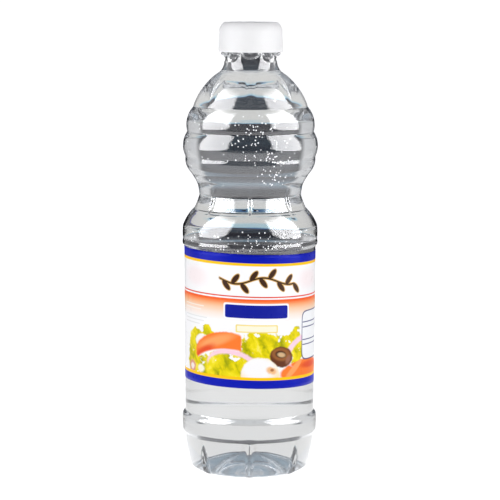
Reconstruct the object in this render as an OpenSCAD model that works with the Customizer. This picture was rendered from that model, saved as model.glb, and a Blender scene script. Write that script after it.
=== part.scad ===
// Clear plastic bottle of white vinegar, with a screw cap and a wrap-around label.
// The bottle stands on the plane z = 0 with its axis on Z, and its front faces -Y.
// Outlines are lists of [radius, height], walked from the base centre up to the neck.

/* [Overall] */
// Height of the closed bottle, from what it stands on to the top of the cap
total_h = 213.5; // [175:0.5:260]
// Largest diameter, over the ribs and bands
body_d = 64.4; // [54:0.2:78]
// Thickness of the bottle's wall below the neck
wall = 0.5; // [0.4:0.05:0.8]

/* [Base and foot] */
// Inset of the ring that the bottle stands on from the largest radius
stand_in = 7.6; // [6.8:0.1:9]
// Width of that ring
stand_w = 1.2; // [0.8:0.1:3]
// Rise of the dome pushed up into the base
punt_h = 8.8; // [5:0.1:11]
// Thickness of the base at its centre
base_wall = 1; // [0.6:0.1:1.6]
// Radius of the flat spot at the base's centre, where the plastic was fed in
gate_r = 2; // [1:0.5:4]
// Height of the rounded heel
heel_h = 2.7; // [2:0.1:4]
// Inset of the heel's upper edge from the largest radius
heel_in = 3.7; // [3:0.1:4.5]
// Height of the foot below its band
foot_h = 17.4; // [15:0.1:24]
// Inset of the foot's upper edge from the largest radius
foot_in = 1.2; // [1:0.1:1.8]

/* [Bands and label panel] */
// Height of the band round the foot
foot_band_h = 9.2; // [7:0.1:14]
// Inset of the two flat bands from the largest radius
band_in = 0.1; // [0:0.1:0.2]
// Height of each ledge between a band and what it borders
ledge_h = 1; // [0.8:0.1:1.5]
// Inset of the label panel's lower end from the largest radius
panel_low_in = 1.5; // [1.2:0.1:2]
// Inset of the label panel's upper end from the largest radius
panel_top_in = 1; // [0.9:0.1:1.2]
// Height of the bead above the label panel
bead_h = 2.5; // [2:0.1:4]
// Height of the band above the bead
upper_band_h = 6.5; // [4:0.1:10]

/* [Waist and ribs] */
// Height of the lower shoulder, from the upper band in to the waist's lower crease
lower_shoulder_h = 8.3; // [7:0.1:12]
// Inset of the waist's lower crease from the largest radius
low_crease_in = 5.7; // [4.5:0.1:6.5]
// Height from the lower crease to the narrowest ring
waist_low_h = 6.2; // [5:0.1:9]
// Inset of the narrowest ring from the largest radius
waist_in = 8.05; // [7.5:0.05:10]
// Height from the narrowest ring to the waist's upper crease
waist_top_h = 5; // [4:0.1:7]
// Inset of the waist's upper crease from the largest radius
top_crease_in = 7.25; // [6.9:0.05:7.4]
// Height of the flank between the upper crease and the lowest rib
flank_h = 6.1; // [5:0.1:9]
// Height of the lowest rib
rib_3_h = 7.2; // [6:0.1:10]
// Height of the middle rib
rib_2_h = 11.7; // [10:0.1:15]
// Height of the top rib
rib_1_h = 11.9; // [10:0.1:15]
// Inset of the groove between the lowest and the middle rib
groove_2_in = 1.4; // [1:0.1:2]
// Inset of the groove between the middle and the top rib
groove_1_in = 2.2; // [1.8:0.1:3]
// How far the lowest rib widens, from where it leaves the flank up to the groove above it
rib_3_out = 2.2; // [1.6:0.1:2.6]
// How far the middle and the top rib swell beyond their grooves
rib_swell = 1.6; // [1:0.1:1.8]

/* [Shoulder, neck and fill] */
// Height of the plain ring under the shoulder
shoulder_ring_h = 0.6; // [0.4:0.1:1.5]
// Inset of that ring from the largest radius
shoulder_in = 5.2; // [4:0.1:6]
// Height of the shoulder's dome
shoulder_h = 15.8; // [13:0.1:22]
// How far the dome swells beyond a straight slope
shoulder_swell = 1.75; // [1:0.05:2.5]
// Outer diameter of the neck below its ring
neck_d = 24.9; // [20:0.1:30]
// Thickness of the neck's wall
neck_wall = 1.6; // [1:0.1:2]
// How much wider the neck's root is than the neck, on each side
root_out = 2.1; // [1:0.1:3]
// Height of the flared root
root_h = 4.6; // [3:0.1:7]
// Height of the straight neck up to its ring
neck_h = 3.8; // [2:0.1:10]
// Thickness of the support ring under the cap
ring_h = 0.7; // [0.5:0.1:2]
// Height of the vinegar's surface above the neck's root
fill_rise = 0.5; // [-20:0.1:3]

/* [Cap] */
// Height of the cap
cap_h = 13.9; // [11:0.1:20]
// Thickness of the cap's skirt
cap_wall = 1.3; // [1:0.1:2]
// Thickness of the cap's top
cap_top = 1.6; // [1:0.1:2.5]
// Draft of the cap's side, from its lower edge to its rounded shoulder
cap_draft = 0.25; // [0:0.05:0.5]
// Height of the cap's rounded shoulder
cap_round_h = 4.7; // [2:0.1:6]
// Width of the cap's rounded shoulder
cap_round_w = 2.3; // [1:0.1:3]
// How far the cap's rounded shoulder swells beyond a straight bevel
cap_round_swell = 0.6; // [0.3:0.1:0.9]
// How far the threaded end stands out from the neck, on each side
thread_out = 1.25; // [0.8:0.05:1.6]
// Clearance between the threaded end and the cap's bore
cap_gap = 0.3; // [0.2:0.05:0.5]
// Clearance between the cap's lower edge and the support ring
seat_gap = 0.3; // [0.2:0.05:1]

/* [Label] */
// Thickness of the label
label_t = 0.3; // [0.1:0.05:0.4]
// Bare panel below the label, at the front
label_bare_h = 14.9; // [5:0.1:18]
// Smallest gap between the label and the ledge above it
label_gap = 0.1; // [0.1:0.1:2]
// Slant of the label, which is lower on the +X side
label_slant = 1.8; // [0:0.1:3]

/* [Flutes] */
// Number of flutes round the bottle
flute_count = 8; // [6:2:10]
// Radius of the tool that presses the long leaf-shaped flutes of the shoulder
shoulder_flute_r = 4.9; // [3:0.1:6]
// Radius of the tool that presses the narrow flutes of the waist
waist_flute_r = 1.3; // [1:0.1:1.8]
// Radius of the bend of that tool, round which it leaves the waist's two flanks
waist_flute_bend = 8; // [7:0.1:9]
// Depth of the waist's flutes at the narrowest ring
waist_flute_depth = 0.4; // [0.2:0.05:0.5]
// Radius of the tool that presses the flutes of the foot
foot_flute_r = 2; // [1.5:0.1:2.5]
// Height at which the foot's flutes run out
foot_flute_h = 15.2; // [12:0.1:15.4]
// How far the foot's flutes lean in, from their upper tips to the base
foot_flute_lean = 5; // [4.4:0.1:5.6]
// Radius of the tool that presses the radial grooves of the base
base_groove_r = 1.8; // [1.2:0.1:2.4]
// Depth of the base's grooves
base_groove_depth = 0.6; // [0.3:0.05:0.8]

/* [Hidden] */
$fn = 96;
// Largest angle between two neighbouring points of an arc
arc_step = 8;
// How far a cutting tool runs past what it cuts
past = 5;

// Radii, all counted inwards from the largest one
body_r = body_d / 2;
stand_r = body_r - stand_in;
dome_r = stand_r - stand_w;
sphere_z = (gate_r * gate_r + punt_h * punt_h - dome_r * dome_r) / (2 * punt_h);
sphere_r = norm([dome_r, sphere_z]);
heel_r = body_r - heel_in;
foot_r = body_r - foot_in;
band_r = body_r - band_in;
panel_low_r = body_r - panel_low_in;
panel_top_r = body_r - panel_top_in;
low_crease_r = body_r - low_crease_in;
waist_r = body_r - waist_in;
top_crease_r = body_r - top_crease_in;
groove_1_r = body_r - groove_1_in;
groove_2_r = body_r - groove_2_in;
shoulder_r = body_r - shoulder_in;
rib_3_r = groove_2_r - rib_3_out;
neck_r = neck_d / 2;
root_r = neck_r + root_out;
bore_r = neck_r - neck_wall;
thread_r = neck_r + thread_out;
cap_bore_r = thread_r + cap_gap;
cap_r = cap_bore_r + cap_wall;
ring_r = cap_r - cap_draft;
// The bevel under the support ring
ring_bevel = ring_h / 4;
// The corners of the foot's band and of the bead are rounded off by these widths
corner_w = 0.6;
corner_h = 2.2;
bead_w = 0.25;

// How far each arc of the outline swells out, or in where it is negative
heel_swell = 0.7;
foot_swell = 0.35;
corner_swell = 0.2;
band_swell = 0.2;
lower_shoulder_swell = 0.6;
waist_low_swell = -0.15;
waist_top_swell = -0.1;
flank_swell = -0.2;
rib_3_swell = 0.85;
root_swell = -0.45;

// Heights, counted up from the table and down from the top, which meet in the label panel
band_low_z = foot_h + ledge_h;
band_top_z = band_low_z + foot_band_h;
panel_low_z = band_top_z + ledge_h;
rim_z = total_h - cap_top;
cap_low_z = total_h - cap_h;
ring_top_z = cap_low_z - seat_gap;
ring_low_z = ring_top_z - ring_h;
neck_z = ring_low_z - neck_h;
root_z = neck_z - root_h;
shoulder_z = root_z - shoulder_h;
rib_1_z = shoulder_z - shoulder_ring_h;
groove_1_z = rib_1_z - rib_1_h;
groove_2_z = groove_1_z - rib_2_h;
rib_3_z = groove_2_z - rib_3_h;
top_crease_z = rib_3_z - flank_h;
waist_z = top_crease_z - waist_top_h;
low_crease_z = waist_z - waist_low_h;
upper_band_z = low_crease_z - lower_shoulder_h;
bead_top_z = upper_band_z - upper_band_h;
bead_low_z = bead_top_z - bead_h;
panel_top_z = bead_low_z - ledge_h / 2;
fill_z = root_z + fill_rise;
// The wall starts to thicken this far below the neck's root
thicken_h = 5;

// The foot's flutes lean in along a straight line
flute_tip = [foot_r - foot_in * (foot_h - foot_flute_h) / foot_h, foot_flute_h];
flute_foot = flute_tip - [foot_flute_lean, foot_flute_h];
// The shoulder's flutes span this stretch of the dome, as parts of its length from below
shoulder_flute_span = [0.18, 0.76];
// The base's grooves run between these parts of the dome's radius
base_groove_span = [0.25, 0.93];

// Points from a up to, but not including, b on an arc that swells by swell to the right
function arc(a, b, swell) =
    let(half = 2 * atan(2 * abs(swell) / norm(b - a)))
    let(count = max(1, ceil(2 * half / arc_step)))
    [for (i = [0 : count - 1]) arc_point(a, b, swell, i / count)];

// The point at part t of the way along that arc
function arc_point(a, b, swell, t) =
    swell == 0 ? a + t * (b - a) :
    let(chord = norm(b - a))
    let(along = (b - a) / chord)
    let(out = [along.y, -along.x])
    let(size = abs(swell))
    let(radius = (chord * chord / 4 + size * size) / (2 * size))
    let(half = 2 * atan(2 * size / chord))
    let(turn = (2 * t - 1) * half)
    let(rise = radius * cos(turn) - radius + size)
    (a + b) / 2 + along * radius * sin(turn) + out * sign(swell) * rise;

// How far the base's spherical dome swells beyond its slanting chord
function dome_swell() =
    sphere_r - norm([(gate_r + dome_r) / 2, punt_h / 2 - sphere_z]);

// Thickness of the wall behind an outline point: thicker at the base's centre and up the neck
function wall_at(p) =
    p.y > root_z - thicken_h ? mix(wall, neck_wall, (p.y - root_z + thicken_h) / (thicken_h + root_h)) :
    p.y <= punt_h && p.x < dome_r ? mix(wall, base_wall, (dome_r - p.x) / (dome_r - gate_r)) :
    wall;

// A value between a and b, at part t of the way, and no further than b
function mix(a, b, t) = a + (b - a) * min(1, t);

// The outline moved into the bottle by the wall's thickness
function inset(points) =
    let(last = len(points) - 1)
    [for (i = [0 : last])
        let(before = points[max(i - 1, 0)])
        let(after = points[min(i + 1, last)])
        let(along = i <= 1 ? [1, 0] : (after - before) / norm(after - before))
        points[i] + wall_at(points[i]) * [-along.y, along.x]];

base_points = [
    [0, punt_h],
    each arc([gate_r, punt_h], [dome_r, 0], -dome_swell()),
    [dome_r, 0],
    each arc([stand_r, 0], [heel_r, heel_h], heel_swell),
    each arc([heel_r, heel_h], [foot_r, foot_h], foot_swell),
    [foot_r, foot_h]
];
band_points = [
    each arc([band_r - corner_w, band_low_z], [band_r, band_low_z + corner_h], corner_swell),
    each arc([band_r, band_top_z - corner_h], [band_r - corner_w, band_top_z], corner_swell),
    [band_r - corner_w, band_top_z],
    [panel_low_r, panel_low_z],
    [panel_top_r, panel_top_z],
    each arc([body_r - bead_w, bead_low_z], [body_r - bead_w, bead_top_z], bead_w),
    each arc([body_r - bead_w, bead_top_z], [body_r - bead_w, upper_band_z], band_swell)
];
waist_points = [
    each arc([body_r - bead_w, upper_band_z], [low_crease_r, low_crease_z], lower_shoulder_swell),
    each arc([low_crease_r, low_crease_z], [waist_r, waist_z], waist_low_swell),
    each arc([waist_r, waist_z], [top_crease_r, top_crease_z], waist_top_swell),
    each arc([top_crease_r, top_crease_z], [rib_3_r, rib_3_z], flank_swell)
];
rib_points = [
    each arc([rib_3_r, rib_3_z], [groove_2_r, groove_2_z], rib_3_swell),
    each arc([groove_2_r, groove_2_z], [groove_1_r, groove_1_z], rib_swell),
    each arc([groove_1_r, groove_1_z], [shoulder_r, rib_1_z], rib_swell)
];
shoulder_points = [
    [shoulder_r, rib_1_z],
    each arc([shoulder_r, shoulder_z], [root_r, root_z], shoulder_swell),
    each arc([root_r, root_z], [neck_r, neck_z], root_swell),
    [neck_r, neck_z]
];
body_points = concat(base_points, band_points, waist_points, rib_points, shoulder_points);
neck_points = [
    [neck_r, ring_low_z],
    [ring_r, ring_low_z + ring_bevel],
    [ring_r, ring_top_z],
    [thread_r, ring_top_z],
    [thread_r, rim_z],
    [0, rim_z]
];

// A round bar in the radial plane, whose line nearest the axis runs from a to b
module flute_bar(a, b, radius, grow) {
    along = (b - a) / norm(b - a);
    out = [along.y, -along.x];
    start = a + out * radius - along * grow;
    translate([start.x, 0, start.y])
        rotate([0, atan2(along.x, along.y), 0])
            cylinder(r = radius + grow, h = norm(b - a) + 2 * grow);
}

// A radial groove of the base: a ring of round section about the dome's centre, cut to its span
module base_groove(grow) {
    start = asin((base_groove_span[0] * dome_r - grow) / sphere_r);
    stop = asin((base_groove_span[1] * dome_r + grow) / sphere_r);
    translate([0, 0, sphere_z])
        rotate([90, 0, 0])
            rotate([0, 0, 90 - stop])
                rotate_extrude(angle = stop - start)
                    translate([sphere_r + base_groove_depth - base_groove_r, 0])
                        circle(r = base_groove_r + grow);
}

// One flute of each kind, for the outer wall, or grown by the wall for the inner one
module flute_set(grow) {
    low = arc_point([shoulder_r, shoulder_z], [root_r, root_z], shoulder_swell, shoulder_flute_span[0]);
    high = arc_point([shoulder_r, shoulder_z], [root_r, root_z], shoulder_swell, shoulder_flute_span[1]);
    rise = (high - low) / norm(high - low);
    flute_bar(low - rise * past / 2, high + rise * past / 2, shoulder_flute_r, grow);
    translate([waist_r - waist_flute_depth + waist_flute_bend, 0, waist_z])
        rotate([90, 0, 0])
            rotate_extrude()
                translate([waist_flute_bend - waist_flute_r, 0])
                    circle(r = waist_flute_r + grow);
    lean = (flute_tip - flute_foot) / norm(flute_tip - flute_foot);
    flute_bar(flute_foot - lean * past / 2, flute_tip + lean * past / 2, foot_flute_r, grow);
    base_groove(grow);
}

// All flutes, one set facing the front
module flutes(grow) {
    for (i = [0 : flute_count - 1])
        rotate([0, 0, i * 360 / flute_count - 90])
            flute_set(grow);
}

// The space inside the bottle, up past its rim
module cavity() {
    difference() {
        rotate_extrude()
            polygon([each inset(body_points), [bore_r, rim_z + past], [0, rim_z + past]]);
        flutes(wall);
    }
}

// The blown bottle with its neck
module bottle() {
    color("lightcyan", 0.4)
        difference() {
            rotate_extrude()
                polygon(concat(body_points, neck_points));
            flutes(0);
            cavity();
        }
}

// The vinegar, which fills the bottle from wall to wall up to its surface
module vinegar() {
    color("azure", 0.6)
        intersection() {
            cavity();
            cylinder(r = body_r, h = fill_z);
        }
}

// The screw cap, which rests on the neck's rim
module cap() {
    side_r = cap_r - cap_draft;
    flat_r = side_r - cap_round_w;
    round_z = total_h - cap_round_h;
    color("white")
        rotate_extrude()
            polygon([
                [cap_bore_r, cap_low_z],
                [cap_r, cap_low_z],
                each arc([side_r, round_z], [flat_r, total_h], cap_round_swell),
                [flat_r, total_h],
                [0, total_h],
                [0, rim_z],
                [cap_bore_r, rim_z]
            ]);
}

// The label, a sleeve on the panel whose two edges lie in slanting planes
module label() {
    drop = panel_top_r * tan(label_slant);
    low_z = panel_low_z + label_bare_h;
    high_z = panel_top_z - label_gap - drop;
    color("royalblue")
        intersection() {
            rotate_extrude()
                polygon([
                    [panel_low_r, panel_low_z],
                    [panel_low_r + label_t, panel_low_z],
                    [panel_top_r + label_t, panel_top_z],
                    [panel_top_r, panel_top_z]
                ]);
            translate([0, 0, low_z])
                rotate([0, label_slant, 0])
                    translate([-body_d, -body_d, 0])
                        cube([2 * body_d, 2 * body_d, (high_z - low_z) * cos(label_slant)]);
        }
}

bottle();
vinegar();
cap();
label();
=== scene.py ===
"""A clear plastic bottle of white vinegar with a white screw cap and a printed wrap-around label.

Sizes are in millimetres and outlines are lists of (radius, height); the meshes are in metres, in the CAD
frame. Angles round the bottle are in degrees from its front, which faces -Y, and grow towards +X.
"""
import math
import random

import bmesh
import bpy
import numpy as np
from mathutils import Matrix, Vector


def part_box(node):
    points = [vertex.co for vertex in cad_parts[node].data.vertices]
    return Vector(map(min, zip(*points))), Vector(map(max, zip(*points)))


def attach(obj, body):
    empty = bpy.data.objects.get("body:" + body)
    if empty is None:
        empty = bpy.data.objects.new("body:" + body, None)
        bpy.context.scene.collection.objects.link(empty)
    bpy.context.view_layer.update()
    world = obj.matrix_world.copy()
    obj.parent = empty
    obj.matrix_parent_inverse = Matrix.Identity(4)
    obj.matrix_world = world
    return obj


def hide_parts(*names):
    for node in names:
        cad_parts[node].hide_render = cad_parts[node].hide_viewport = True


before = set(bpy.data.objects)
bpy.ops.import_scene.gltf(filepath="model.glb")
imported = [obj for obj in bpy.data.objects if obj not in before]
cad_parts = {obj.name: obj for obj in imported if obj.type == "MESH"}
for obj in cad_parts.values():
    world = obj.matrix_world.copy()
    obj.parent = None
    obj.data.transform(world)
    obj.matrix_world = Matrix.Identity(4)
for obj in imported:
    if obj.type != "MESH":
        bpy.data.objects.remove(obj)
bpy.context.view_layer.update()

MM = 0.001
scene = bpy.context.scene

# ---------------------------------------------------------------- sizes in mm

# The largest radius, the top of the cap and the level of the vinegar, from the CAD
body_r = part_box("bottle")[1][0] / MM
top_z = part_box("cap")[1][2] / MM
fill_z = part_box("vinegar")[1][2] / MM

wall = 0.5
neck_wall = 1.6
base_wall = 1.0

# Base, heel and foot; the dome pushed up into the base is part of a sphere
punt_h = 8.8
gate_r = 2.0
dome_r = body_r - 8.8
stand_r = body_r - 7.6
heel_r = body_r - 3.7
heel_h = 2.7
foot_r = body_r - 1.2
foot_h = 17.4
sphere_z = (gate_r**2 + punt_h**2 - dome_r**2) / (2 * punt_h)
sphere_r = math.hypot(dome_r, sphere_z)
dome_swell = sphere_r - math.hypot((gate_r + dome_r) / 2, punt_h / 2 - sphere_z)

# Foot band, from its lower ledge up, and the label panel above it
ledge_h = 1.0
corner_w = 0.6
corner_h = 2.2
band_r = body_r - 0.1
band_low_z = foot_h + ledge_h
band_top_z = band_low_z + 9.2
top_corner_w = 0.5
top_corner_h = 1.7
panel_low_z = band_top_z + ledge_h
panel_low_r = body_r - 1.5
panel_top_r = body_r - 1.0

# Cap, neck and its support ring, from the top down
cap_h = 13.9
cap_top = 1.6
cap_r = 15.3
cap_bore_r = 14.0
cap_draft = 0.25
cap_round_h = 4.7
cap_round_w = 2.3
cap_round_swell = 0.6
rim_z = top_z - cap_top
cap_low_z = top_z - cap_h
ring_top_z = cap_low_z - 0.3
ring_low_z = ring_top_z - 0.7
ring_bevel = 0.15
neck_z = ring_low_z - 3.8
root_z = neck_z - 4.6
neck_r = 12.45
root_r = neck_r + 2.1
ring_r = 15.05
thread_r = 13.7
bore_r = neck_r - neck_wall

# Shoulder and ribs
shoulder_z = root_z - 15.8
shoulder_swell = 1.75
ribs_top_z = shoulder_z - 0.6
groove_1_z = ribs_top_z - 11.9
groove_2_z = groove_1_z - 11.7
rib_3_z = groove_2_z - 7.2
shoulder_r = body_r - 5.2
groove_1_r = body_r - 2.2
groove_2_r = body_r - 1.4
rib_3_r = body_r - 3.6
rib_swell = 1.6

# Waist, lower shoulder, upper band and the bead above the label panel
top_crease_z = rib_3_z - 6.1
waist_z = top_crease_z - 5.0
low_crease_z = waist_z - 6.2
upper_band_z = low_crease_z - 8.3
bead_top_z = upper_band_z - 6.5
bead_low_z = bead_top_z - 2.5
panel_top_z = bead_low_z - 0.5
top_crease_r = body_r - 7.25
waist_r = body_r - 8.05
low_crease_r = body_r - 5.7
upper_band_r = body_r - 0.25

# Each point of the outline: radius, height, and how far the stretch after it swells out
OUTLINE = [
    # base, heel and foot
    (0, punt_h, 0),
    (gate_r, punt_h, -dome_swell),
    (dome_r, 0, 0),
    (stand_r, 0, 0.7),
    (heel_r, heel_h, 0.35),
    (foot_r, foot_h, 0),
    # foot band
    (band_r - corner_w, band_low_z, 0.2),
    (band_r, band_low_z + corner_h, 0),
    (band_r, band_top_z - top_corner_h, 0.16),
    (band_r - top_corner_w, band_top_z, 0),
    # label panel
    (panel_low_r, panel_low_z, 0),
    (panel_top_r, panel_top_z, 0),
    # bead and upper band
    (upper_band_r, bead_low_z, 0.25),
    (upper_band_r, bead_top_z, 0.2),
    # lower shoulder and waist
    (upper_band_r, upper_band_z, 0.6),
    (low_crease_r, low_crease_z, -0.15),
    (waist_r, waist_z, -0.1),
    (top_crease_r, top_crease_z, -0.2),
    # three ribs
    (rib_3_r, rib_3_z, 0.85),
    (groove_2_r, groove_2_z, rib_swell),
    (groove_1_r, groove_1_z, rib_swell),
    # shoulder and neck
    (shoulder_r, ribs_top_z, 0),
    (shoulder_r, shoulder_z, shoulder_swell),
    (root_r, root_z, -0.45),
    (neck_r, neck_z, 0),
]

# The neck above it, with its support ring, threaded end and rim
NECK = [
    (neck_r, neck_z, 0),
    (neck_r, ring_low_z, 0),
    (ring_r, ring_low_z + ring_bevel, 0),
    (ring_r, ring_top_z, 0),
    (thread_r, ring_top_z, 0),
    (thread_r, rim_z, 0),
    (bore_r, rim_z, 0),
]

# How far creases are rounded: on the bottle's outside, on its neck, on its inside and on the cap
OUTSIDE_SOFT = 0.28
NECK_SOFT = 0.08
INSIDE_SOFT = 0.45
CAP_SOFT = 0.14

# ---------------------------------------------------------------- outlines

# Spacing of a dense line's points
STEP = 0.1


def arc(a, b, swell):
    """Points from a up to, but not including, b on an arc that swells by swell to the right."""
    a, b = np.array(a, float), np.array(b, float)
    chord = np.linalg.norm(b - a)
    t = np.arange(0, 1, STEP / chord)[:, None]
    line = a + t * (b - a)
    if swell == 0:
        return line
    out = np.array([b[1] - a[1], a[0] - b[0]]) / chord
    radius = (chord**2 / 4 + swell**2) / (2 * abs(swell))
    along = (t - 0.5) * chord
    return line + out * math.copysign(1, swell) * (np.sqrt(radius**2 - along**2) - radius + abs(swell))


def joined(points):
    """A dense line through points of (radius, height, swell)."""
    parts = [arc(p[:2], q[:2], p[2]) for p, q in zip(points, points[1:])]
    return np.vstack(parts + [[points[-1][:2]]])


def lengths(line):
    """The length of line from its start up to each of its points."""
    return np.concatenate([[0], np.cumsum(np.linalg.norm(np.diff(line, axis=0), axis=1))])


def at_lengths(line, where):
    """The points of line at these lengths."""
    s = lengths(line)
    return np.stack([np.interp(where, s, line[:, 0]), np.interp(where, s, line[:, 1])], 1)


def softened(line, sigma):
    """The line with its creases rounded over sigma mm and its two ends kept."""
    line = at_lengths(line, np.arange(0, lengths(line)[-1], STEP))
    reach = int(4 * sigma / STEP)
    kernel = np.exp(-0.5 * (np.arange(-reach, reach + 1) * STEP / sigma) ** 2)
    kernel /= kernel.sum()
    before = 2 * line[0] - line[reach:0:-1]
    after = 2 * line[-1] - line[-2 : -reach - 2 : -1]
    padded = np.vstack([before, line, after])
    return np.stack([np.convolve(padded[:, i], kernel, "valid") for i in (0, 1)], 1)


def normals(line):
    """Unit normals to the right of the line's way."""
    along = np.gradient(line, axis=0)
    along /= np.linalg.norm(along, axis=1)[:, None]
    return np.stack([along[:, 1], -along[:, 0]], 1)


def thinned(line, count, per_turn=10, per_mm=0.25):
    """The line with count points, shared out by how much it turns and how long it is."""
    turn = np.linalg.norm(np.diff(normals(line), axis=0), axis=1)
    weight = turn * per_turn + per_mm * np.diff(lengths(line))
    cost = np.concatenate([[0], np.cumsum(weight)])
    where = np.interp(np.linspace(0, cost[-1], count), cost, lengths(line))
    return at_lengths(line, where)


def wall_at(line, blend=5.0):
    """Thickness of the wall behind each point: thicker at the base's centre and up the neck."""
    r, z = line.T
    base = (z < punt_h + STEP) & (r < dome_r)
    thick = wall + (base_wall - wall) * np.clip((dome_r - r) / (dome_r - gate_r), 0, 1) * base
    up = np.clip((z - root_z + blend) / (neck_z - root_z + blend), 0, 1)
    return thick + (neck_wall - wall) * up


def inner_line(outer):
    """The inside of the bottle, from the base's centre up the neck."""
    below = outer[outer[:, 1] < ring_low_z - 0.5][:-1]
    inside = below - normals(below) * wall_at(below)[:, None]
    inside[:, 0] = np.maximum(inside[:, 0], 0)
    inside[0, 0] = 0
    return softened(np.vstack([inside, [[bore_r, ring_low_z], [bore_r, rim_z]]]), INSIDE_SOFT)


# ---------------------------------------------------------------- flutes

FLUTES = 8
SECTOR = 360 / FLUTES
# Angles of a sector's columns, which lie closest together at the flute
SIDE_STEPS = np.array([0.6, 1.2, 1.8, 2.5, 3.3, 4.3, 5.5, 7.5, 10.5, 14, 18])
OFFSETS = np.concatenate([-SIDE_STEPS[::-1], [0], SIDE_STEPS, [SECTOR / 2]])

# The tools that press the flutes: their radii, and where they reach
shoulder_flute_r = 4.9
# shares of the way up the shoulder's dome
shoulder_flute_from, shoulder_flute_to = 0.18, 0.76
foot_flute_r = 2.0
foot_flute_h = 15.2
foot_flute_lean = 5.0
foot_flute_in = 0.15
waist_flute_r = 1.3
waist_flute_bend = 8.0
waist_flute_depth = 0.4
waist_flute_reach = 7.0
base_groove_r = 1.8
base_groove_depth = 0.6


def bow(u, radius, steepness=3):
    """How far a round tool's face has drawn back at the sideways distance u from its middle."""
    inside = np.sqrt(np.maximum(radius**2 - u**2, 0))
    return radius - inside + steepness * np.maximum(np.abs(u) - radius, 0)


def pressed_by(depth, edge=0.09):
    """The depth of a cut with softly rounded edges: 0 where depth is well below 0."""
    return edge * np.logaddexp(0, depth / edge)


def bar_press(rho, u, z, a, b, radius, grow, within):
    """A straight round bar, whose innermost line runs through a and b, pressed into the wall."""
    untouched = -9  # so far outside the tool that it presses nothing
    along = (np.array(b) - a) / np.linalg.norm(np.array(b) - a)
    out = np.array([along[1], -along[0]])
    beyond = (rho - a[0]) * out[0] + (z - a[1]) * out[1]
    depth = np.where(within, beyond + grow - bow(u, radius + grow), untouched)
    cut = pressed_by(depth)
    return rho - cut * out[0], z - cut * out[1]


def bend_press(rho, u, z, centre, reach, radius, grow, share):
    """A bent round bar, which reaches this far from its bend's centre, pressed into the wall."""
    away_r, away_z = rho - centre[0], z - centre[1]
    away = np.hypot(away_r, away_z)
    cut = pressed_by(reach + grow - bow(u, radius + grow) - away) * share
    return rho + cut * away_r / away, z + cut * away_z / away


def smooth_step(x, low, high):
    """0 up to low, 1 from high on, and an even rise between them."""
    t = np.clip((x - low) / (high - low), 0, 1)
    return t * t * (3 - 2 * t)


def press_shoulder(rho, u, z, grow):
    """The leaf-shaped flute of the shoulder, between two points of its dome."""
    dome = arc((shoulder_r, shoulder_z), (root_r, root_z), shoulder_swell)
    low, high = (dome[int(share * len(dome))] for share in (shoulder_flute_from, shoulder_flute_to))
    return bar_press(rho, u, z, low, high, shoulder_flute_r, grow, z > shoulder_z - 0.5)


def press_foot(rho, u, z, grow):
    """The narrow flute of the foot, which leans in from its upper tip to the base."""
    tip = np.array([foot_r - foot_flute_in, foot_flute_h])
    within = (z < foot_h) & (rho > dome_r + 1.5)
    return bar_press(rho, u, z, tip - (foot_flute_lean, foot_flute_h), tip, foot_flute_r, grow, within)


def press_waist(rho, u, z, grow):
    """The short flute across the narrowest ring of the waist."""
    centre = (waist_r - waist_flute_depth + waist_flute_bend, waist_z)
    near = np.abs(z - waist_z) < waist_flute_reach
    return bend_press(rho, u, z, centre, waist_flute_bend, waist_flute_r, grow, near)


def press_base(rho, u, z, grow):
    """The groove along the dome of the base, which runs out towards both of its ends."""
    on_dome = (z < punt_h + 1.2) & (np.hypot(rho, u) < dome_r + 0.2)
    rise, fall = ((start * dome_r, end * dome_r) for start, end in ((0.2, 0.32), (0.86, 0.95)))
    share = on_dome * (smooth_step(rho, *rise) * (1 - smooth_step(rho, *fall)))
    reach = sphere_r + base_groove_depth
    return bend_press(rho, u, z, (0, sphere_z), reach, base_groove_r, grow, share)


def fluted(line, grow=0.0):
    """The line turned round the axis, with a set of flutes in each sector: rows by columns of x, y, z."""
    off = np.radians(OFFSETS)
    rho = line[:, :1] * np.cos(off)
    u = line[:, :1] * np.sin(off)
    z = np.repeat(line[:, 1:], len(off), 1)
    for press in (press_shoulder, press_foot, press_waist, press_base):
        rho, z = press(rho, u, z, grow)
    angles = np.radians(np.arange(FLUTES) * SECTOR)[None, :, None]
    rho, u, z = rho[:, None, :], u[:, None, :], z[:, None, :]
    x = rho * np.sin(angles) + u * np.cos(angles)
    y = -rho * np.cos(angles) + u * np.sin(angles)
    grid = np.stack([x, y, z + 0 * x], -1)
    return grid.reshape(len(line), -1, 3)


def turned(line, columns):
    """The line turned round the axis: rows by columns of x, y, z."""
    a = np.radians(np.arange(columns) * 360 / columns)
    r, z = line[:, :1], line[:, 1:]
    return np.stack([r * np.sin(a), -r * np.cos(a), z + 0 * a], -1)


# ---------------------------------------------------------------- meshes


def mesh_object(name, points, faces, material):
    """A smooth-shaded object of these points, in metres."""
    mesh = bpy.data.meshes.new(name)
    mesh.from_pydata(points, [], faces)
    mesh.polygons.foreach_set("use_smooth", [True] * len(mesh.polygons))
    mesh.materials.append(material)
    obj = bpy.data.objects.new(name, mesh)
    scene.collection.objects.link(obj)
    return obj


def piece(name, points, faces, material, slot):
    """A piece of the bottle with its points in mm; its slot is not used."""
    obj = mesh_object(name, (np.asarray(points) * MM).tolist(), faces, material)
    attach(obj, "root")
    return obj


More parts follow.
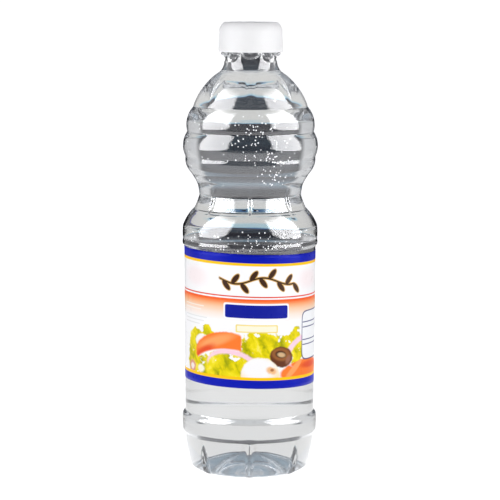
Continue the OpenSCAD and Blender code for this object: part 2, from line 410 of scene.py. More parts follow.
def closed_skin(grid):
    """Points and faces of a skin closed round the axis, whose first and last rows are single points."""
    rows, cols = grid.shape[:2]
    points = np.vstack([grid[0, :1], grid[1:-1].reshape(-1, 3), grid[-1, :1]])
    index = 1 + np.arange((rows - 2) * cols).reshape(rows - 2, cols)
    side = np.roll(index, -1, 1)
    quads = np.stack([index[:-1], side[:-1], side[1:], index[1:]], -1).reshape(-1, 4)
    last = len(points) - 1
    start = [(0, b, a) for a, b in zip(index[0].tolist(), side[0].tolist())]
    end = [(a, b, last) for a, b in zip(index[-1].tolist(), side[-1].tolist())]
    return points, quads.tolist() + start + end


def closed_line(line):
    """The line with both of its ends on the axis."""
    line = line.copy()
    line[0, 0] = line[-1, 0] = 0
    return line


# ---------------------------------------------------------------- materials


def new_material(name, colour, **settings):
    """A material with its Principled shader, and the shader's settings by socket name."""
    material = bpy.data.materials.new(name)
    material.use_nodes = True
    shader = material.node_tree.nodes["Principled BSDF"]
    shader.inputs["Base Color"].default_value = (*colour, 1)
    for key, value in settings.items():
        shader.inputs[key.replace("_", " ")].default_value = value
    return material, shader


class Nodes:
    """Short calls for a material's nodes. Inputs are numbers, tuples or other nodes' outputs."""

    def __init__(self, material):
        self.tree = material.node_tree

    def put(self, socket, value):
        """Link value to the socket where it is an output, or else set it there."""
        if isinstance(value, bpy.types.NodeSocket):
            self.tree.links.new(value, socket)
        else:
            socket.default_value = value

    def add(self, kind, *values, **settings):
        """A new node with its first inputs and its settings."""
        node = self.tree.nodes.new("ShaderNode" + kind)
        for key, value in settings.items():
            setattr(node, key, value)
        for socket, value in zip(node.inputs, values):
            self.put(socket, value)
        return node

    def add_named(self, kind, inputs, **settings):
        """A new node with its inputs given by name or number."""
        node = self.add(kind, **settings)
        for key, value in inputs.items():
            self.put(node.inputs[key], value)
        return node

    def math(self, operation, *values):
        """One step of arithmetic."""
        return self.add("Math", *values, operation=operation).outputs[0]

    def both(self, *masks):
        """1 where every mask is 1."""
        product = masks[0]
        for mask in masks[1:]:
            product = self.math("MULTIPLY", product, mask)
        return product

    def noise(self, vector, scale, detail=3.0, roughness=0.5, output="Fac"):
        """Cloudy noise, as a number or, from the output Color, as a colour."""
        inputs = {"Vector": vector, "Scale": scale, "Detail": detail, "Roughness": roughness}
        return self.add_named("TexNoise", inputs).outputs[output]

    def ramp(self, value, stops):
        """The colour at value, between stops of (place, colour)."""
        node = self.add("ValToRGB", value)
        while len(node.color_ramp.elements) < len(stops):
            node.color_ramp.elements.new(1)
        for element, (place, colour) in zip(node.color_ramp.elements, stops):
            element.position = place
            element.color = (*colour, 1)
        return node.outputs[0]

    def between(self, value, low, high, smooth=True):
        """0 where value is at low, 1 where it is at high."""
        inputs = {"Value": value, "From Min": low, "From Max": high}
        kind = "SMOOTHSTEP" if smooth else "LINEAR"
        return self.add_named("MapRange", inputs, interpolation_type=kind).outputs[0]

    def mix(self, share, a, b):
        """Colour a where share is 0, colour b where it is 1."""
        return self.add_named("Mix", {0: share, 6: a, 7: b}, data_type="RGBA").outputs[2]

    def bump(self, height, strength, distance):
        """A normal that follows height."""
        inputs = {"Height": height, "Strength": strength, "Distance": distance}
        return self.add_named("Bump", inputs).outputs[0]

    def object_place(self):
        """The place on the object, in metres."""
        return self.add("TexCoord").outputs["Object"]

    def drift(self, shader, scale, detail, dark, light):
        """Let the shader's colour drift between two close ones."""
        cloud = self.noise(self.object_place(), scale, detail)
        self.put(shader.inputs["Base Color"], self.ramp(cloud, [(0.3, dark), (0.7, light)]))

    def roughen(self, shader, scale, detail, strength, distance):
        """Give the shader's surface a fine unevenness."""
        grain = self.noise(self.object_place(), scale, detail)
        self.put(shader.inputs["Normal"], self.bump(grain, strength, distance))

    def bearings(self, behind):
        """The bearing of a place on the object from its middle, and the upward part of the way there.

        The bearing is in degrees: aside of straight behind or of straight before, and above level.
        """
        way = self.add("VectorMath", self.object_place(), operation="NORMALIZE").outputs[0]
        x, y, z = self.add("SeparateXYZ", way).outputs
        ahead = y if behind else self.math("MULTIPLY", y, -1.0)
        aside = self.math("ABSOLUTE", self.math("ARCTAN2", x, ahead))
        rise = self.math("ARCSINE", z)
        return self.math("DEGREES", aside), self.math("DEGREES", rise), z


def plastic_material():
    """Clear blown plastic: faint unevenness of the wall, and a barely uneven shine."""
    material, shader = new_material("clear_plastic", (0.985, 0.992, 1.0), Transmission_Weight=1.0, IOR=1.5)
    nodes = Nodes(material)
    nodes.roughen(shader, 90, 2, 0.1, 0.0004)
    haze = nodes.between(nodes.noise(nodes.object_place(), 260), 0.5, 0.9)
    nodes.put(shader.inputs["Roughness"], nodes.math("MULTIPLY", haze, 0.03))
    return material


def vinegar_material():
    """Clear, colourless liquid."""
    material, shader = new_material(
        "vinegar", (0.99, 0.995, 1.0), Transmission_Weight=1.0, IOR=1.335, Roughness=0.0
    )
    Nodes(material).drift(shader, 25, 2, (0.985, 0.99, 1.0), (1.0, 1.0, 1.0))
    return material


def painted_glint_bubble_material():
    """Small bubbles of air, painted opaque white with a glow: a painted highlight that stands in for the
    bright glints of clear bubbles.
    """
    # painted highlight: the emission makes the bubbles glow, though they are no lamp
    glow = {"Emission_Color": (1, 1, 1, 1), "Emission_Strength": 0.5}
    material, shader = new_material("bubble_painted_glint", (1, 1, 1), Roughness=0.15, **glow)
    Nodes(material).drift(shader, 900, 1, (0.85, 0.88, 0.95), (1, 1, 1))
    return material


def cap_material():
    """White moulded plastic with a fine grain."""
    colour = (0.81, 0.81, 0.815)
    material, shader = new_material("cap_plastic", colour, Roughness=0.5, Specular_IOR_Level=0.12)
    nodes = Nodes(material)
    nodes.drift(shader, 60, 3, (0.78, 0.78, 0.79), (0.83, 0.83, 0.835))
    nodes.roughen(shader, 2600, 2, 0.12, 0.00005)
    return material


# ---------------------------------------------------------------- pieces

# Points along each outline, and columns round the cap
OUTSIDE_POINTS = 262
INSIDE_POINTS = 196
FILL_POINTS = 190
CAP_POINTS = 140
CAP_COLUMNS = 160


def make_bottle(outer, inner, material):
    """The blown bottle: its outside up to the rim and its inside back down."""
    outside = fluted(closed_line(thinned(outer, OUTSIDE_POINTS)))
    inside = fluted(closed_line(thinned(inner, INSIDE_POINTS)), wall)[::-1]
    grid = np.concatenate([outside, inside])
    obj = piece("bottle_clear", *closed_skin(grid), material, "clear_plastic")
    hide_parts("bottle")
    return obj


def make_vinegar(inner, material):
    """The liquid, which reaches a little into the wall, with a surface that climbs the wall."""
    into_wall = 0.12
    climb, spread = 0.45, 1.1
    line = inner + normals(inner) * into_wall
    line[:, 0] = np.maximum(line[:, 0], 0)
    side = thinned(line[line[:, 1] < fill_z - 0.05], FILL_POINTS)
    edge = side[-1, 0]
    back = np.linspace(0, 1, 26)[1:]
    level = fill_z - climb + climb * np.exp(-back * edge / spread)
    surface = np.stack([edge * (1 - back), level], 1)
    grid = fluted(closed_line(np.vstack([side, surface])), wall)
    obj = piece("vinegar_fill", *closed_skin(grid), material, "vinegar")
    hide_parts("vinegar")
    return obj


def bubble_places(rng):
    """Angle and height of each bubble: by the ribs, and in the band above the label."""
    low, high = 138, 172
    places = []
    for _ in range(115):
        z = rng.uniform(low, high)
        places.append((rng.gauss(15 + (high - z) * 0.3, 10), z))
    for _ in range(45):
        places.append((rng.gauss(-4, 10), rng.uniform(148, 168)))
    for _ in range(75):
        places.append((rng.gauss(0, 30), rng.uniform(108.5, 117.5)))
    for _ in range(60):
        angle = rng.uniform(40, 320)
        stretch = (109, 117) if rng.random() < 0.4 else (140, 170)
        places.append((angle, rng.uniform(*stretch)))
    return places


def unit_sphere():
    """Points and triangles of a small round ball of radius 1."""
    shape = bmesh.new()
    bmesh.ops.create_icosphere(shape, subdivisions=2, radius=1)
    points = np.array([v.co[:] for v in shape.verts])
    faces = np.array([[v.index for v in f.verts] for f in shape.faces])
    shape.free()
    return points, faces


def make_bubbles(inner, material):
    """Small air bubbles that cling to the wall inside the liquid."""
    rng = random.Random(7)
    clearance = 0.12
    # the inside of the side wall, clear of the base's dome
    wet = inner[(inner[:, 1] > panel_low_z) & (inner[:, 1] < fill_z) & (inner[:, 0] > dome_r / 2)]
    ball_points, ball_faces = unit_sphere()
    points, faces = [], []
    for angle, z in bubble_places(rng):
        size = rng.uniform(0.2, 0.34)
        r = float(np.interp(z, wet[:, 1], wet[:, 0])) - size - clearance
        a = math.radians(angle)
        centre = np.array([r * math.sin(a), -r * math.cos(a), z])
        faces.append(ball_faces + len(points) * len(ball_points))
        points.append(ball_points * size + centre)
    return piece("bubbles", np.vstack(points), np.vstack(faces).tolist(), material, "vinegar")


def make_cap(material):
    """The hollow screw cap with its rounded shoulder."""
    side_r = cap_r - cap_draft
    points = [
        (0, rim_z, 0),
        (cap_bore_r, rim_z, 0),
        (cap_bore_r, cap_low_z, 0),
        (cap_r, cap_low_z, 0),
        (side_r, top_z - cap_round_h, cap_round_swell),
        (side_r - cap_round_w, top_z, 0),
        (0, top_z, 0),
    ]
    line = closed_line(thinned(softened(joined(points), CAP_SOFT), CAP_POINTS))
    obj = piece("cap_white", *closed_skin(turned(line, CAP_COLUMNS)), material, "cap_plastic")
    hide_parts("cap")
    return obj


# ---------------------------------------------------------------- label

# The angle where the film starts, and how far round it runs, past its own start
LABEL_START = -78.0
LABEL_TURN = 364.0
# Its height, and its lower edge at the front, which lies this much lower at the +X side
LABEL_H = 63.15
LABEL_LOW_Z = 43.65
LABEL_SLANT = 1.0
# Its thickness, and how much of its print goes to each degree round the panel
FILM = 0.08
MM_PER_DEGREE = 0.546


def make_label(outer, material, back_material):
    """The printed film, wrapped once round the panel on a slant, its start on top of its end."""
    columns, rows = 274, 40
    glue, overlap_lift = 0.04, FILM + 0.05
    angle = LABEL_START + np.linspace(0, LABEL_TURN, columns)
    up = np.linspace(0, LABEL_H, rows)
    z = LABEL_LOW_Z - LABEL_SLANT * np.sin(np.radians(angle))[None, :] + up[:, None]
    panel = outer[(outer[:, 1] > panel_low_z - 4) & (outer[:, 1] < panel_top_z + 7)]
    base = np.interp(z, panel[:, 1], panel[:, 0])
    lift = glue + overlap_lift * (1 - smooth_step(angle - LABEL_START, 5, 11))[None, :]
    a = np.radians(angle)[None, :] + 0 * z

    def skin(radius):
        return np.stack([radius * np.sin(a), -radius * np.cos(a), z], -1).reshape(-1, 3)

    points = np.vstack([skin(base + lift + FILM), skin(base + lift)])
    index = np.arange(rows * columns).reshape(rows, columns)
    front = np.stack([index[:-1, :-1], index[:-1, 1:], index[1:, 1:], index[1:, :-1]], -1).reshape(-1, 4)
    back = front[:, ::-1] + rows * columns
    rim = np.concatenate([index[0, :-1], index[:-1, -1], index[-1, :0:-1], index[:0:-1, 0]])
    after = np.roll(rim, -1)
    sides = np.stack([after, rim, rim + rows * columns, after + rows * columns], -1)
    faces = np.vstack([front, back, sides])
    obj = piece("label_print", points, faces.tolist(), material, "label_film")
    place = np.stack([(angle * MM_PER_DEGREE)[None, :] + 0 * z, up[:, None] + 0 * z], -1).reshape(-1, 2)
    place = np.vstack([place, place])
    uv = obj.data.uv_layers.new(name="print")
    uv.uv.foreach_set("vector", place[faces.ravel()].ravel().astype(np.float32))
    obj.data.materials.append(back_material)
    inner_side = np.zeros(len(faces), int)
    inner_side[len(front) : len(front) + len(back)] = 1
    obj.data.polygons.foreach_set("material_index", inner_side)
    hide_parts("label")
    return obj


def label_back_material():
    """The film's unprinted back, dull and painted dark grey where it faces the drink: painted shade for the
    back of the label inside the bottle.
    """
    # painted shade: the dark grey and its drift stand in for the shade behind the label
    material, shader = new_material("label_back_painted_shade", (0.1, 0.1, 0.11), Roughness=0.6, Specular_IOR_Level=0.2)
    Nodes(material).drift(shader, 120, 3, (0.07, 0.07, 0.08), (0.13, 0.13, 0.14))
    return material


# ---------------------------------------------------------------- the label's print

# Colours of the print
PAPER = (0.93, 0.93, 0.94)
BLUSH = (0.93, 0.84, 0.85)
RED_LINE = (0.72, 0.05, 0.02)
DUSK = [
    (0.0, (0.86, 0.07, 0.008)),
    (0.1, (0.93, 0.15, 0.03)),
    (0.24, (0.95, 0.36, 0.15)),
    (0.45, (0.94, 0.6, 0.4)),
    (0.7, (0.94, 0.78, 0.68)),
    (1.0, (0.93, 0.91, 0.9)),
]
LETTUCE = [
    (0.28, (0.2, 0.24, 0.0)),
    (0.4, (0.48, 0.45, 0.0)),
    (0.5, (0.75, 0.63, 0.002)),
    (0.6, (0.87, 0.73, 0.01)),
    (0.75, (0.93, 0.86, 0.22)),
]
FLESH = (0.93, 0.2, 0.03)
PALE_FLESH = (0.96, 0.36, 0.12)
DARK_FLESH = (0.78, 0.08, 0.02)
EDGE_GOLD = (0.98, 0.56, 0.006)
EDGE_BLUE = (0.001, 0.008, 0.4)
INK = (0.02, 0.035, 0.16)


class Print:
    """The label's print, in mm on the unrolled film: x from its front, y from its lower edge.

    A shape is a mask, which is 1 inside the shape. Half-sizes are given for ovals and boxes.
    """

    def __init__(self, nodes):
        self.nodes = nodes
        self.place = nodes.add("UVMap", uv_map="print").outputs[0]
        self.x, self.y, _ = nodes.add("SeparateXYZ", self.place).outputs
        self.ragged = self.shaken(0.24, 5.0)
        self.crisp = self.shaken(0.5, 1.0)
        self.colour = (*PAPER, 1)

    def shaken(self, scale, amount):
        """The place on the print, shaken by noise, for uneven edges."""
        noise = self.nodes.noise(self.place, scale, output="Color")
        centred = self.nodes.add("VectorMath", noise, (0.5, 0.5, 0.5), operation="SUBTRACT").outputs[0]
        scaled = self.nodes.add_named("VectorMath", {0: centred, "Scale": amount}, operation="SCALE")
        return self.nodes.add("VectorMath", self.place, scaled.outputs[0], operation="ADD").outputs[0]

    def oval(self, centre, size, turn=0.0, soft=0.12, where=None):
        """An ellipse, turned anticlockwise by some degrees."""
        inputs = {
            "Vector": self.place if where is None else where,
            "Location": (*centre, 0),
            "Rotation": (0, 0, math.radians(turn)),
            "Scale": (*size, 1),
        }
        mapping = self.nodes.add_named("Mapping", inputs, vector_type="TEXTURE")
        length = self.nodes.add("VectorMath", mapping.outputs[0], operation="LENGTH").outputs["Value"]
        return self.nodes.between(length, 1 + soft, 1 - soft)

    def box(self, centre, size, soft=0.15, squareness=8):
        """A box with rounded corners."""
        powers = []
        for axis, middle, half in zip((self.x, self.y), centre, size):
            off = self.nodes.math("ABSOLUTE", self.nodes.math("SUBTRACT", axis, middle))
            share = self.nodes.math("DIVIDE", off, half)
            powers.append(self.nodes.math("POWER", share, squareness * half / min(size)))
        return self.nodes.between(self.nodes.math("ADD", *powers), 1 + soft, 1 - soft)

    def band(self, low, high, soft=0.15):
        """A level band between two heights."""
        lower = self.nodes.between(self.y, low - soft, low + soft)
        return self.nodes.both(lower, self.nodes.between(self.y, high + soft, high - soft))

    def outside(self, a, b):
        """What lies in a and not in b."""
        return self.nodes.both(a, self.nodes.math("SUBTRACT", 1.0, b))

    def paint(self, mask, shade):
        """Lay shade, a colour or a node's output, over the print inside the mask."""
        if not isinstance(shade, bpy.types.NodeSocket):
            shade = (*shade, 1)
        self.colour = self.nodes.mix(mask, self.colour, shade)


def paint_field(art):
    """The pale field: faint pink patches, a fading orange band, and pale lines at the left."""
    nodes = art.nodes
    for centre in ((-30, 51), (34, 51)):
        art.paint(art.oval(centre, (8, 4.5), 0, 0.6), BLUSH)
    art.paint(art.band(42.95, 43.55, 0.1), RED_LINE)
    dusk = nodes.ramp(nodes.between(art.y, 42.3, 32.0, smooth=False), DUSK)
    art.paint(art.band(32.0, 42.2, 0.1), dusk)
    for low, grey, end in (
        (36.9, 0.95, -24),
        (35.2, 0.95, -26),
        (31.6, 0.7, -22),
        (29.9, 0.7, -24),
        (28.2, 0.7, -27),
    ):
        stretch = nodes.both(nodes.between(art.x, -40, -39.5), nodes.between(art.x, end + 0.3, end))
        line = nodes.both(art.band(low, low + 0.5, 0.1), stretch)
        art.paint(nodes.math("MULTIPLY", line, 0.6), (grey, grey, grey))


def paint_lettuce(art):
    """Folded lettuce leaves along the lower edge."""
    nodes = art.nodes
    inputs = {"Vector": art.ragged, "Scale": (1.0, 2.2, 1.0), "Rotation": (0, 0, 0.4)}
    folds = nodes.add_named("Mapping", inputs, vector_type="TEXTURE").outputs[0]
    green = nodes.ramp(nodes.noise(folds, 0.2, roughness=0.55), LETTUCE)
    for centre, size, turn in (
        ((-29, 20), (6, 6.5), 20),
        ((-22, 25.5), (4.5, 2.8), 10),
        ((-31, 11), (6, 9), 0),
        ((6.5, 18.5), (12, 9.5), -8),
        ((-12, 9), (16, 8.5), 0),
        ((23, 23.5), (3.4, 5.5), -30),
        ((27, 16), (8, 6.5), 0),
        ((18, 20.5), (6, 4.5), -20),
    ):
        art.paint(art.oval(centre, size, turn, 0.08, art.ragged), green)


def paint_left_pieces(art):
    """A white piece, a wedge of tomato and a ring of onion at the left."""
    nodes, oval, crisp = art.nodes, art.oval, art.crisp
    art.paint(oval((-25.5, 20.8), (4.4, 2.9), 10, 0.15, crisp), (0.92, 0.87, 0.84))
    whole, bite = oval((-15.5, 18.2), (14.5, 7.4), 14, 0.06, crisp), oval((-13, 10.5), (17, 7.4), 6, 0.08)
    wedge = nodes.both(art.outside(whole, bite), nodes.between(art.x, -3.4, -4.4))
    art.paint(wedge, FLESH)
    art.paint(nodes.both(wedge, oval((-17, 21.4), (10, 2.2), 20, 0.5)), PALE_FLESH)
    art.paint(nodes.both(wedge, oval((-24, 15.5), (7, 2.2), 30, 0.5)), DARK_FLESH)
    onion = oval((-8.5, 9.5), (13.5, 8.4), -8, 0.06, crisp)
    hole = oval((-9, 8.0), (12.7, 7.8), -8, 0.06, crisp)
    art.paint(nodes.both(art.outside(onion, hole), nodes.between(art.y, 9, 12)), (0.93, 0.62, 0.74))


def paint_right_pieces(art):
    """Tomato and a ring of onion at the right."""
    nodes, oval, crisp = art.nodes, art.oval, art.crisp
    tomato = oval((31, 7.5), (16, 5.6), 4, 0.08, crisp)
    art.paint(tomato, FLESH)
    art.paint(nodes.both(tomato, oval((36, 10), (8, 1.6), 0, 0.5)), DARK_FLESH)
    art.paint(nodes.both(tomato, oval((23.5, 9.0), (1.5, 7), -50, 0.3)), PALE_FLESH)
    onion = oval((27.5, 17), (10, 7), 24, 0.07, crisp)
    hole = oval((29.2, 15.4), (9.4, 6.6), 24, 0.07, crisp)
    art.paint(art.outside(onion, hole), (0.92, 0.64, 0.76))


def paint_olive(art):
    """A slice of black olive with its hole."""
    art.paint(art.oval((15.9, 15.0), (6.2, 4.9), -8, 0.08, art.crisp), (0.11, 0.032, 0.012))
    for centre, size, turn, soft, shade in (
        ((15.6, 16.2), (4.9, 3.1), -8, 0.2, (0.28, 0.1, 0.03)),
        ((15.4, 16.2), (2.9, 1.7), -10, 0.25, (0.03, 0.01, 0.006)),
        ((15.7, 16.0), (2.1, 1.1), -10, 0.4, (0.62, 0.42, 0.22)),
        ((19.6, 13.6), (1.2, 2.2), -30, 0.6, (0.3, 0.13, 0.08)),
    ):
        art.paint(art.oval(centre, size, turn, soft), shade)


def paint_egg(art):
    """A white egg with a golden lower side and a spot, and small round pieces at the far left."""
    nodes, oval, crisp = art.nodes, art.oval, art.crisp
    egg = oval((5.2, 6.0), (9.4, 8.8), -6, 0.05, crisp)
    art.paint(egg, (0.94, 0.72, 0.4))
    art.paint(nodes.both(egg, oval((4.2, 9.6), (9.2, 6.0), 0, 0.4)), (0.92, 0.91, 0.92))
    art.paint(oval((10.6, 8.6), (2.6, 1.7), -20, 0.35, crisp), (0.86, 0.5, 0.24))
    art.paint(oval((10.9, 8.9), (0.9, 0.7), 0, 0.5), (0.4, 0.14, 0.05))
    art.paint(oval((-25.9, 7.4), (2.2, 1.8), 0, 0.3, crisp), (0.92, 0.88, 0.7))
    art.paint(oval((-32.8, 7.6), (2.8, 2.8), 0, 0.25, crisp), (0.72, 0.3, 0.22))
    art.paint(oval((-32.8, 7.6), (1.6, 1.6), 0, 0.3, crisp), (0.9, 0.8, 0.75))


def paint_sprig(art):
    """A plain leafy sprig on a wavy stem in the upper field, dark with a gold edge."""
    nodes = art.nodes
    height, wave, pace = 50.8, 1.6, 0.24
    gold_edge, gold, dark = 0.38, (0.7, 0.42, 0.12), (0.05, 0.022, 0.012)
    leaf_count, first_leaf, leaf_gap, leaf_turn = 9, -12.5, 4.4, 52
    stem = nodes.math("MULTIPLY", nodes.math("SINE", nodes.math("MULTIPLY", art.x, pace)), wave)
    over = nodes.math("SUBTRACT", nodes.math("SUBTRACT", art.y, height), stem)
    off_stem = nodes.math("ABSOLUTE", over)
    along = nodes.both(nodes.between(art.x, -15.5, -14.5), nodes.between(art.x, 23.0, 22.0))
    for grow, shade in ((gold_edge, gold), (0.0, dark)):
        art.paint(nodes.both(nodes.between(off_stem, 0.42 + grow, 0.3 + grow), along), shade)
        for i in range(leaf_count):
            side = 1 if i % 2 else -1
            foot = first_leaf + leaf_gap * i
            centre = (foot + 1.2, height + wave * math.sin(pace * foot) + side * 2.2)
            art.paint(art.oval(centre, (2.8 + grow, 1.15 + grow), side * leaf_turn, 0.1), shade)


def paint_plates(art):
    """Two plain name plates, a blue one and a pale gold one, and a white panel with bars at the right."""
    for centre, size, shade in (
        ((3.5, 36.3), (16.2, 3.9), (0.93, 0.93, 0.96)),
        ((3.5, 36.3), (15.4, 3.1), (0.005, 0.012, 0.3)),
        ((3.5, 28.3), (10.2, 1.9), (0.88, 0.72, 0.25)),
        ((3.5, 28.3), (9.5, 1.3), (0.95, 0.9, 0.7)),
        ((45, 24.2), (16.6, 11.8), INK),
        ((45, 24.2), (16.1, 11.3), (0.9, 0.91, 0.93)),
    ):
        art.paint(art.box(centre, size), shade)
    inside = art.box((45, 24.2), (15.9, 11.1))
    for low in (30.3, 27.9, 21.9, 19.6):
        art.paint(art.nodes.both(inside, art.band(low, low + 0.45, 0.12)), INK)


def paint_borders(art):
    """Gold lines and blue bands along both edges."""
    for start, end, shade in (
        (5.45, 5.15, EDGE_GOLD),
        (4.05, 3.8, EDGE_BLUE),
        (57.6, 57.9, EDGE_GOLD),
        (58.9, 59.15, EDGE_BLUE),
    ):
        art.paint(art.nodes.between(art.y, start, end), shade)


def label_material():
    """The printed film: bands, a pale field and a salad made of simple shapes."""
    material, shader = new_material("label_print", (1, 1, 1), Roughness=0.3, Specular_IOR_Level=0.05)
    nodes = Nodes(material)
    art = Print(nodes)
    paint_field(art)
    paint_lettuce(art)
    paint_left_pieces(art)
    paint_right_pieces(art)
    paint_olive(art)
    paint_egg(art)
    paint_sprig(art)
    paint_plates(art)
    paint_borders(art)
    nodes.put(shader.inputs["Base Color"], art.colour)
    nodes.roughen(shader, 140, 2, 0.1, 0.0003)
    gloss = nodes.noise(nodes.object_place(), 400, 2)
    worn = nodes.add_named("MapRange", {"Value": gloss, "To Min": 0.24, "To Max": 0.34})
    nodes.put(shader.inputs["Roughness"], worn.outputs[0])
    return material


# ---------------------------------------------------------------- stage, in metres

# How far the table runs before and behind the bottle, and to each side
TABLE_FRONT = -1.3
TABLE_BACK = 0.44
TABLE_SIDE = 1.3
# The stretch of table that shines in the plastic
GLARE_FRONT = -0.58
GLARE_BACK = 0.5
# Radii of the floor, and of the two balls that carry the room and the lights in it
FLOOR_R = 40
ROOM_R = 12
SHINE_R = 0.92
# Radiance of that stretch and of the lights at the sides, and the dark of the room
GLARE = 3.3
SHINE = (16, 16, 16.3, 1)
DARK = (0.022, 0.022, 0.028)


def seen_by(obj, camera=True, diffuse=True, glossy=True, transmission=True, shadow=True):
    """Choose the kinds of ray that meet the object."""
    obj.visible_camera = camera
    obj.visible_diffuse = diffuse
    obj.visible_glossy = glossy
    obj.visible_transmission = transmission
    obj.visible_shadow = shadow


def stage_object(name, points, faces, material):
    """A part of the stage, which is no part of the bottle."""
    obj = mesh_object(name, points, faces, material)
    return obj


def disc(name, radius, material, steps=96):
    """A flat disc on the floor."""
    turns = [2 * math.pi * i / steps for i in range(steps)]
    points = [(radius * math.cos(a), radius * math.sin(a), 0) for a in turns]
    return stage_object(name, points, [list(range(steps))], material)


def table_part(name, near, far, material):
    """A rectangle on the floor that lies between two distances behind the bottle."""
    corners = [(-TABLE_SIDE, near, 0), (TABLE_SIDE, near, 0), (TABLE_SIDE, far, 0), (-TABLE_SIDE, far, 0)]
    return stage_object(name, corners, [(0, 1, 2, 3)], material)


def ball(name, radius, material, steps=48, rings=24):
    """A large ball about the bottle."""
    points, faces = [], []
    for j in range(rings + 1):
        e = math.pi * (j / rings - 0.5)
        out, up = radius * math.cos(e), radius * math.sin(e)
        for i in range(steps):
            a = 2 * math.pi * i / steps
            points.append((out * math.cos(a), out * math.sin(a), up))
    for j in range(rings):
        for i in range(steps):
            k = (i + 1) % steps
            low, high = j * steps, (j + 1) * steps
            faces.append((low + i, low + k, high + k, high + i))
    return stage_object(name, points, faces, material)


def glowing_material(name):
    """A material that only glows, and its nodes."""
    material = bpy.data.materials.new(name)
    material.use_nodes = True
    material.node_tree.nodes.clear()
    nodes = Nodes(material)
    nodes.glow = nodes.add("Emission")
    nodes.out = nodes.add("OutputMaterial", nodes.glow.outputs[0])
    return material, nodes


def make_floor():
    """The plain pale floor that the camera sees."""
    glow = {"Emission_Color": (1, 1, 1, 1), "Emission_Strength": 0.6}
    material, shader = new_material("floor", (0.9, 0.9, 0.9), Roughness=0.9, Specular_IOR_Level=0.1, **glow)
    nodes = Nodes(material)
    grain = nodes.noise(nodes.object_place(), 3, 2)
    tint = nodes.ramp(grain, [(0, (0.9, 0.9, 0.905)), (1, (0.92, 0.92, 0.92))])
    nodes.put(shader.inputs["Base Color"], tint)
    seen_by(disc("floor", FLOOR_R, material), glossy=False, transmission=False)


def make_table():
    """The table as it shows through the bottle: pale, with a blue edge at its back."""
    material, nodes = glowing_material("table")
    behind = nodes.add("SeparateXYZ", nodes.object_place()).outputs[1]
    tint = nodes.ramp(
        nodes.between(behind, 0.0, TABLE_BACK, smooth=False),
        [
            (0.0, (0.68, 0.68, 0.68)),
            (0.84, (0.69, 0.675, 0.64)),
            (0.95, (0.4, 0.6, 0.68)),
            (1.0, (0.04, 0.1, 0.26)),
        ],
    )
    nodes.put(nodes.glow.inputs["Color"], tint)
    table = table_part("table", TABLE_FRONT, TABLE_BACK, material)
    seen_by(table, camera=False, diffuse=False, glossy=False, shadow=False)


def make_glare():
    """The table as it shines in the bottle: brightest in front, dim behind."""
    material, nodes = glowing_material("table_front")
    behind = nodes.add("SeparateXYZ", nodes.object_place()).outputs[1]
    bright = nodes.ramp(
        nodes.between(behind, GLARE_FRONT, GLARE_BACK, smooth=False),
        [
            (0.0, (0.02, 0.02, 0.02)),
            (0.2, (1.0, 1.0, 1.01)),
            (0.45, (1.0, 1.0, 1.01)),
            (0.65, (0.3, 0.3, 0.3)),
            (1.0, (0.18, 0.18, 0.18)),
        ],
    )
    nodes.put(nodes.glow.inputs["Color"], bright)
    nodes.put(nodes.glow.inputs["Strength"], GLARE)
    table = table_part("table_front", GLARE_FRONT, GLARE_BACK, material)
    seen_by(table, camera=False, diffuse=False, transmission=False, shadow=False)


def make_room():
    """The room as the bottle shows it: dark behind and before, with pale walls at both sides."""
    material, nodes = glowing_material("room")
    aside, rise, height = nodes.bearings(behind=True)
    above = nodes.ramp(
        nodes.between(height, 0.0, 0.5, smooth=False),
        [
            (0.0, DARK),
            (0.14, DARK),
            (0.3, (0.06, 0.06, 0.07)),
            (0.6, (0.09, 0.1, 0.12)),
            (1.0, (0.16, 0.24, 0.3)),
        ],
    )
    dimmed_below = nodes.add("MapRange", rise, -11, -4, 0.45, 1.0).outputs[0]
    walls = nodes.both(nodes.between(aside, 26, 33), nodes.between(aside, 125, 100), dimmed_below)
    nodes.put(nodes.glow.inputs["Color"], nodes.mix(walls, above, (0.65, 0.65, 0.655, 1)))
    seen_by(ball("room", ROOM_R, material), camera=False, diffuse=False, shadow=False)


def make_shine():
    """Two tall lights that shine in the bottle's sides, and draw back sideways near the table."""
    material, nodes = glowing_material("shine")
    aside, rise, _ = nodes.bearings(behind=False)
    drawn_back = nodes.math("MULTIPLY", nodes.between(rise, 10, -1), 16)
    drawn_further = nodes.math("MULTIPLY", nodes.between(rise, 0, -25), 6)
    aside_there = nodes.math("SUBTRACT", nodes.math("SUBTRACT", aside, drawn_back), drawn_further)
    shape = nodes.both(
        nodes.between(aside_there, 34, 42),
        nodes.between(aside, 99, 90),
        nodes.between(rise, -22, -14),
        nodes.between(rise, 68, 50),
    )
    nodes.put(nodes.glow.inputs["Color"], SHINE)
    see_through = nodes.add("BsdfTransparent").outputs[0]
    blend = nodes.add("MixShader", shape, see_through, nodes.glow.outputs[0])
    nodes.put(nodes.out.inputs["Surface"], blend.outputs[0])
    seen_by(ball("shine", SHINE_R, material), camera=False, diffuse=False, transmission=False, shadow=False)


# ---------------------------------------------------------------- lights and camera, in metres


def soft_light(name, azimuth, radiance):
    """A broad light on the label, cap and floor, at an azimuth counted from the front towards +X."""
    distance, height, aim = 1.0, 0.5, 0.11
    width, tall = 0.9, 0.8
    light = bpy.data.lights.new(name, "AREA")
    light.shape = "RECTANGLE"
    light.size, light.size_y = width, tall
    light.energy = radiance * math.pi * width * tall
    obj = bpy.data.objects.new(name, light)
    scene.collection.objects.link(obj)
    a = math.radians(azimuth)
    obj.location = (distance * math.sin(a), -distance * math.cos(a), height)
    to_aim = Vector((0, 0, aim)) - obj.location
    obj.rotation_euler = to_aim.to_track_quat("-Z", "Y").to_euler()
    obj.visible_camera = obj.visible_glossy = obj.visible_transmission = False


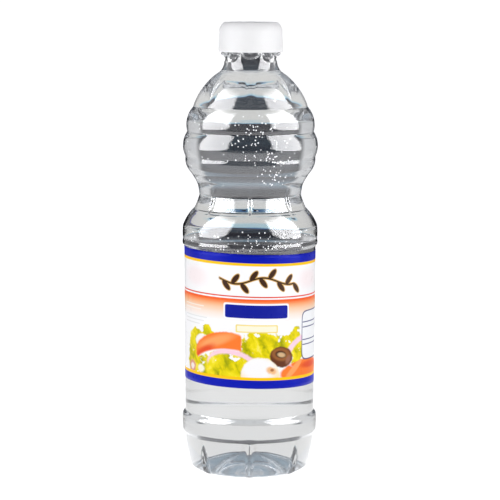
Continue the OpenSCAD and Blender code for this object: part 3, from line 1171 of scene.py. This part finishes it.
def make_world():
    """Even light from the front, which falls off towards the back and the top."""
    world = bpy.data.worlds.new("world")
    scene.world = world
    world.use_nodes = True
    nodes = Nodes(world)
    background = world.node_tree.nodes["Background"]
    _, back, up = nodes.add("SeparateXYZ", nodes.add("TexCoord").outputs["Generated"]).outputs
    round_about = nodes.ramp(
        nodes.between(back, -1.0, 1.0, smooth=False),
        [(0.0, (1.0, 1.0, 1.0)), (0.4, (0.85, 0.85, 0.86)), (1.0, (0.15, 0.15, 0.16))],
    )
    above = nodes.between(up, 0.2, 0.9)
    nodes.put(background.inputs["Color"], nodes.mix(above, round_about, (0.3, 0.3, 0.31, 1)))
    background.inputs["Strength"].default_value = 1.32


def make_camera():
    """A long lens before the bottle, a little above its middle and tilted down."""
    tilt, roll = math.radians(7), math.radians(0.23)
    distance, aim_z = 1.112, 0.1052
    data = bpy.data.cameras.new("camera")
    data.lens = 167.8
    data.sensor_width = 36
    data.clip_end = 100
    obj = bpy.data.objects.new("camera", data)
    scene.collection.objects.link(obj)
    turn = Matrix.Rotation(math.pi / 2 - tilt, 4, "X") @ Matrix.Rotation(roll, 4, "Z")
    place = (0, -distance * math.cos(tilt), aim_z + distance * math.sin(tilt))
    obj.matrix_world = Matrix.Translation(place) @ turn
    scene.camera = obj


# ---------------------------------------------------------------- the scene

outer = np.vstack([softened(joined(OUTLINE), OUTSIDE_SOFT), softened(joined(NECK), NECK_SOFT)[1:]])
inner = inner_line(outer)
bottle = make_bottle(outer, inner, plastic_material())
vinegar = make_vinegar(inner, vinegar_material())
bubbles = make_bubbles(inner, painted_glint_bubble_material())
make_cap(cap_material())
make_label(outer, label_material(), label_back_material())
for clear_piece in (bottle, vinegar, bubbles):
    seen_by(clear_piece, diffuse=False, shadow=False)

make_floor()
make_table()
make_glare()
make_room()
make_shine()
soft_light("fill_left", -66, 0.15)
soft_light("fill_right", 62, 0.25)
make_world()
make_camera()

scene.view_settings.view_transform = "Standard"
# Enough bounces for light to pass both walls, the drink and the flutes, and no noisy caustics
cycles = scene.cycles
cycles.max_bounces = 32
cycles.transmission_bounces = 28
cycles.glossy_bounces = 10
cycles.diffuse_bounces = 4
cycles.sample_clamp_indirect = 6
cycles.caustics_reflective = False
cycles.caustics_refractive = False
cycles.use_denoising = True
